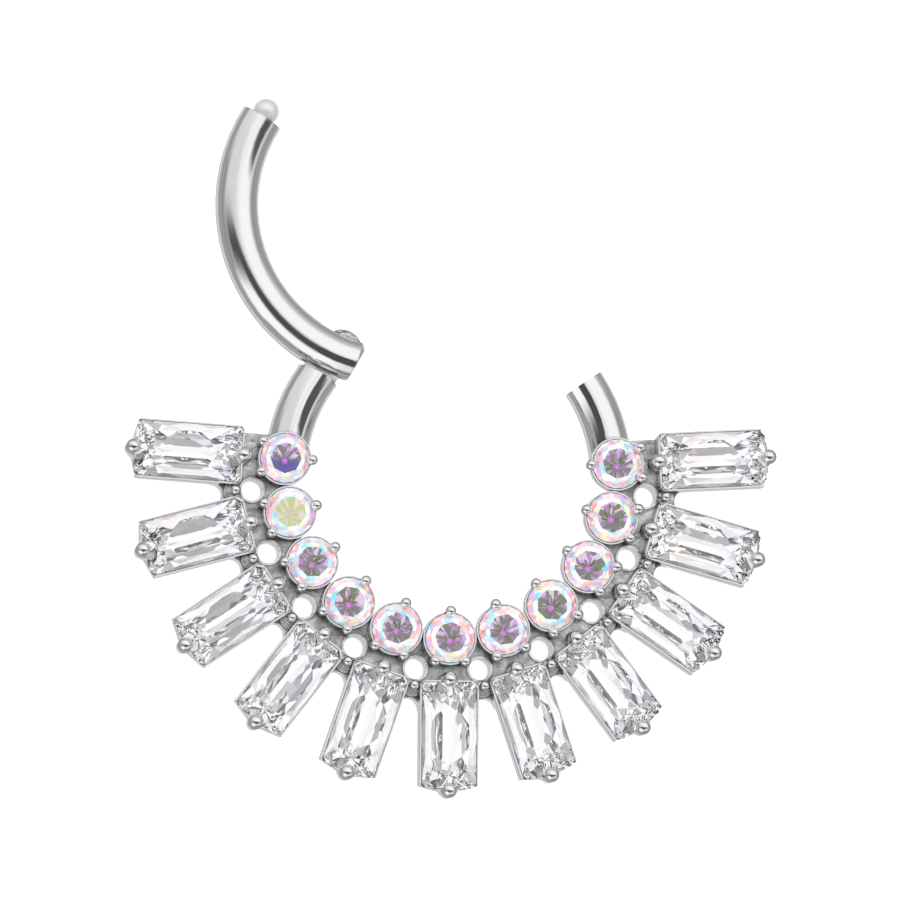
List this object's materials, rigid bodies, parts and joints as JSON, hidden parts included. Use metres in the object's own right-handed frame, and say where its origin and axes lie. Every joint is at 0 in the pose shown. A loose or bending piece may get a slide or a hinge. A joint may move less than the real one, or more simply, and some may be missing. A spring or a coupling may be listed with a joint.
{
  "type": "septum ring",
  "caption": "Hinged septum ring: a round-wire arm with a ball catch opens from a fan-shaped prong setting of round iridescent stones and radiating clear baguettes.",
  "frame": {"origin": "on the surface that the ring's flat back lies on, under the middle of its box with the arm open", "axes": "+Z out of the face, up from the surface; +Y up the face, from the fan's middle baguette towards the open arm; +X to the right of the face"},
  "size_m": [0.018, 0.0194, 0.0019],
  "materials": {
    "polished_steel": "mirror-polished surgical steel",
    "iridescent_stone": "faceted cubic zirconia with a rainbow coating",
    "clear_stone": "faceted clear cubic zirconia"
  },
  "bodies": {
    "frame": {"setting": "polished_steel", "round_stone_01": "iridescent_stone", "round_stone_02": "iridescent_stone", "round_stone_03": "iridescent_stone", "round_stone_04": "iridescent_stone", "round_stone_05": "iridescent_stone", "round_stone_06": "iridescent_stone", "round_stone_07": "iridescent_stone", "round_stone_08": "iridescent_stone", "round_stone_09": "iridescent_stone", "round_stone_10": "iridescent_stone", "round_stone_11": "iridescent_stone", "baguette_01": "clear_stone", "baguette_02": "clear_stone", "baguette_03": "clear_stone", "baguette_04": "clear_stone", "baguette_05": "clear_stone", "baguette_06": "clear_stone", "baguette_07": "clear_stone", "baguette_08": "clear_stone", "baguette_09": "clear_stone", "baguette_10": "clear_stone", "baguette_11": "clear_stone"},
    "arm": {"hinged_arm": "polished_steel", "hinge_pin": "polished_steel"}
  },
  "joints": [
    {"name": "arm_hinge", "type": "hinge", "parent": "frame", "child": "arm", "pos_m": [-0.00317, 0.00258, 0.00062], "axis": [0, 0, 1], "range_deg": [-113.1, 0]}
  ]
}
